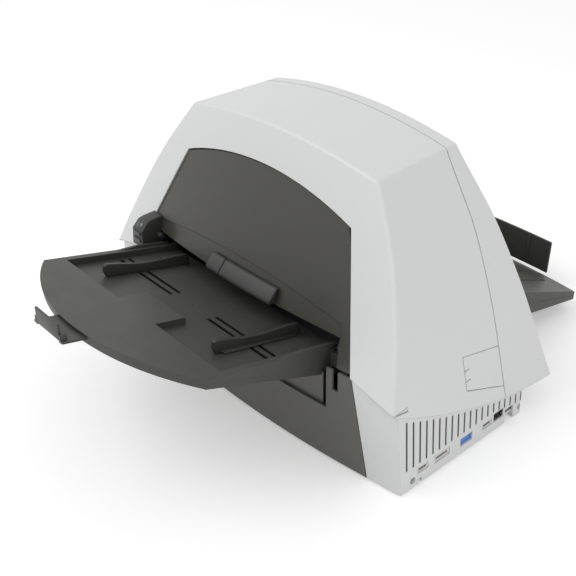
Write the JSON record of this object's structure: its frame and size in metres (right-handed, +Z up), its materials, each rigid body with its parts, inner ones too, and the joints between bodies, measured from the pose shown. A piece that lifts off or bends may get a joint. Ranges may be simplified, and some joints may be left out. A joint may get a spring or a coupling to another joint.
{
  "type": "document scanner",
  "caption": "Large-format document scanner with an arched casing, hinged dark front cover, lifting input tray with side guides, and a folding output tray.",
  "frame": {"origin": "on the surface it stands on, under the middle of its overall box", "axes": "+X towards the side with the sockets, -Y towards the input tray, +Y towards the output tray, +Z up"},
  "size_m": [0.5674, 0.793, 0.3631],
  "materials": {
    "casing": "light warm grey moulded plastic, fine texture",
    "base": "light grey moulded plastic, fine texture",
    "dark_cover": "dark warm grey moulded plastic",
    "dark_panel": "dark grey moulded plastic",
    "tray": "dark grey moulded plastic",
    "guide": "near black moulded plastic",
    "rubber": "soft rubber",
    "roller": "grey roller tyres on steel shafts",
    "steel": "plated sheet steel",
    "shaft": "ground steel",
    "motor": "black painted motor can",
    "board": "green circuit board",
    "supply": "folded aluminium case",
    "glass": "clear scan glass",
    "display": "small display window",
    "key": "grey key caps",
    "blue_socket": "blue connector shell",
    "socket": "black connector shells",
    "bush": "natural acetal",
    "belt": "toothed belt, back side"
  },
  "bodies": {
    "scanner_body": {"front_casing": "casing", "rear_cover": "casing", "base_tub": "base", "front_panel": "dark_panel", "rubber_feet": "rubber", "accessory_socket": "socket", "interface_socket": "socket", "video_socket": "blue_socket", "serial_socket": "socket", "power_inlet": "socket", "throat_cheeks": "dark_cover", "side_plate_right": "steel", "side_plate_left": "steel", "cross_beams": "steel", "cover_hinge_brackets": "steel", "cover_hinge_pins": "shaft", "shaft_bushes": "bush", "drive_motor": "motor", "drive_belt": "belt", "lower_camera_housing": "guide", "lower_camera_glass": "glass", "upper_camera_housing": "guide", "upper_camera_glass": "glass", "camera_boards": "board", "controller_board": "board", "power_supply": "supply", "fan_frame": "guide", "rail_brackets": "steel", "lift_rails": "shaft", "output_hinge_pins": "shaft", "base_screws": "steel"},
    "access_door": {"side_access_door": "casing"},
    "cover": {"scanner_cover": "dark_cover", "control_pod": "dark_cover", "pod_display": "display"},
    "release_handle": {"cover_release_handle": "guide"},
    "gap_lever": {"gap_release": "guide"},
    "start_button": {"start_key": "key"},
    "stop_button": {"stop_key": "key"},
    "motor_shaft": {"motor_pulley": "shaft"},
    "cooling_fan": {"fan_wheel": "guide"},
    "lift_tray": {"input_tray": "tray", "input_tray_lower_shell": "tray"},
    "guide_right": {"side_guide_right": "guide"},
    "guide_left": {"side_guide_left": "guide"},
    "pinion": {"guide_pinion": "bush"},
    "extension": {"tray_extension": "guide"},
    "extension_flap": {"extension_stop": "guide"},
    "exit_tray": {"output_tray": "tray", "output_tray_lower_shell": "tray"},
    "stop_carriage": {"output_stop_carriage": "guide"},
    "stop_flap": {"output_stop": "guide"},
    "feed_roller_body": {"feed_roller": "roller"},
    "separation_roller_body": {"separation_roller": "roller"},
    "entry_drive_roller_body": {"entry_drive_roller": "roller"},
    "entry_pinch_roller_body": {"entry_pinch_roller": "roller"},
    "middle_drive_roller_body": {"middle_drive_roller": "roller"},
    "middle_pinch_roller_body": {"middle_pinch_roller": "roller"},
    "exit_drive_roller_body": {"exit_drive_roller": "roller"},
    "exit_pinch_roller_body": {"exit_pinch_roller": "roller"}
  },
  "joints": [
    {"name": "cover_hinge", "type": "hinge", "parent": "scanner_body", "child": "cover", "pos_m": [0, -0.0935, 0.284], "axis": [1, 0, 0], "range_deg": [-45, 0]},
    {"name": "handle_hinge", "type": "hinge", "parent": "cover", "child": "release_handle", "pos_m": [0.03, -0.1432, 0.1912], "axis": [1, 0, 0], "range_deg": [-18, 0], "stiffness_Nm_per_rad": 0.15},
    {"name": "gap_release_slide", "type": "slide", "parent": "cover", "child": "gap_lever", "axis": [0, -0.3706, -0.9288], "range_m": [0, 0.006], "stiffness_N_per_m": 150},
    {"name": "start_key_press", "type": "slide", "parent": "cover", "child": "start_button", "axis": [0, 1, 0], "range_m": [0, 0.002], "stiffness_N_per_m": 200},
    {"name": "stop_key_press", "type": "slide", "parent": "cover", "child": "stop_button", "axis": [0, 1, 0], "range_m": [0, 0.002], "stiffness_N_per_m": 200},
    {"name": "access_door_hinge", "type": "hinge", "parent": "scanner_body", "child": "access_door", "pos_m": [0.27889, 0.0536, 0.0655], "axis": [-0.2798, -0.0259, 0.9597], "range_deg": [0, 95]},
    {"name": "tray_lift", "type": "slide", "parent": "scanner_body", "child": "lift_tray", "axis": [0, 0, 1], "range_m": [-0.03, 0]},
    {"name": "guide_right_slide", "type": "slide", "parent": "lift_tray", "child": "guide_right", "axis": [1, 0, 0], "range_m": [-0.07, 0.038]},
    {"name": "guide_left_slide", "type": "slide", "parent": "lift_tray", "child": "guide_left", "axis": [1, 0, 0], "range_m": [-0.038, 0.07]},
    {"name": "guide_pinion_spin", "type": "hinge", "parent": "lift_tray", "child": "pinion", "pos_m": [0, -0.21, 0.15], "axis": [0, 0, 1], "range_deg": [-560, 1010]},
    {"name": "extension_slide", "type": "slide", "parent": "lift_tray", "child": "extension", "axis": [0, -0.9746, 0.2241], "range_m": [-0.012, 0.075]},
    {"name": "extension_stop_hinge", "type": "hinge", "parent": "extension", "child": "extension_flap", "pos_m": [0, -0.396, 0.21412], "axis": [1, 0, 0], "range_deg": [-85, 0]},
    {"name": "output_tray_hinge", "type": "hinge", "parent": "scanner_body", "child": "exit_tray", "pos_m": [0, 0.157, 0.109], "axis": [1, 0, 0], "range_deg": [0, 85]},
    {"name": "output_stop_slide", "type": "slide", "parent": "exit_tray", "child": "stop_carriage", "axis": [0, -0.9285, 0.3714], "range_m": [0, 0.1]},
    {"name": "output_stop_hinge", "type": "hinge", "parent": "stop_carriage", "child": "stop_flap", "pos_m": [0, 0.387, 0.0272], "axis": [1, 0, 0], "range_deg": [0, 70]},
    {"name": "motor_spin", "type": "hinge", "parent": "scanner_body", "child": "motor_shaft", "pos_m": [-0.18, 0, 0.062], "axis": [1, 0, 0], "continuous": true},
    {"name": "fan_spin", "type": "hinge", "parent": "scanner_body", "child": "cooling_fan", "pos_m": [0.2145, -0.02, 0.053], "axis": [1, 0, 0], "continuous": true},
    {"name": "feed_roller_spin", "type": "hinge", "parent": "scanner_body", "child": "feed_roller_body", "pos_m": [0, -0.086, 0.15862], "axis": [1, 0, 0], "continuous": true},
    {"name": "separation_roller_spin", "type": "hinge", "parent": "scanner_body", "child": "separation_roller_body", "pos_m": [0, -0.086, 0.13402], "axis": [1, 0, 0], "continuous": true},
    {"name": "entry_drive_roller_spin", "type": "hinge", "parent": "scanner_body", "child": "entry_drive_roller_body", "pos_m": [0, -0.048, 0.13146], "axis": [1, 0, 0], "continuous": true},
    {"name": "entry_pinch_roller_spin", "type": "hinge", "parent": "scanner_body", "child": "entry_pinch_roller_body", "pos_m": [0, -0.048, 0.15006], "axis": [1, 0, 0], "continuous": true},
    {"name": "middle_drive_roller_spin", "type": "hinge", "parent": "scanner_body", "child": "middle_drive_roller_body", "pos_m": [0, 0.052, 0.11946], "axis": [1, 0, 0], "continuous": true},
    {"name": "middle_pinch_roller_spin", "type": "hinge", "parent": "scanner_body", "child": "middle_pinch_roller_body", "pos_m": [0, 0.052, 0.13806], "axis": [1, 0, 0], "continuous": true},
    {"name": "exit_drive_roller_spin", "type": "hinge", "parent": "scanner_body", "child": "exit_drive_roller_body", "pos_m": [0, 0.118, 0.11154], "axis": [1, 0, 0], "continuous": true},
    {"name": "exit_pinch_roller_spin", "type": "hinge", "parent": "scanner_body", "child": "exit_pinch_roller_body", "pos_m": [0, 0.118, 0.13014], "axis": [1, 0, 0], "continuous": true}
  ],
  "couplings": [
    {"joint": "guide_left_slide", "follows": "guide_right_slide", "ratio": -1},
    {"joint": "guide_pinion_spin", "follows": "guide_right_slide", "rad_per_m": -250},
    {"joint": "feed_roller_spin", "follows": "motor_spin", "ratio": -0.8333},
    {"joint": "separation_roller_spin", "follows": "motor_spin", "ratio": 1},
    {"joint": "entry_drive_roller_spin", "follows": "motor_spin", "ratio": 1},
    {"joint": "entry_pinch_roller_spin", "follows": "motor_spin", "ratio": -1.25},
    {"joint": "middle_drive_roller_spin", "follows": "motor_spin", "ratio": 1},
    {"joint": "middle_pinch_roller_spin", "follows": "motor_spin", "ratio": -1.25},
    {"joint": "exit_drive_roller_spin", "follows": "motor_spin", "ratio": 1},
    {"joint": "exit_pinch_roller_spin", "follows": "motor_spin", "ratio": -1.25}
  ]
}
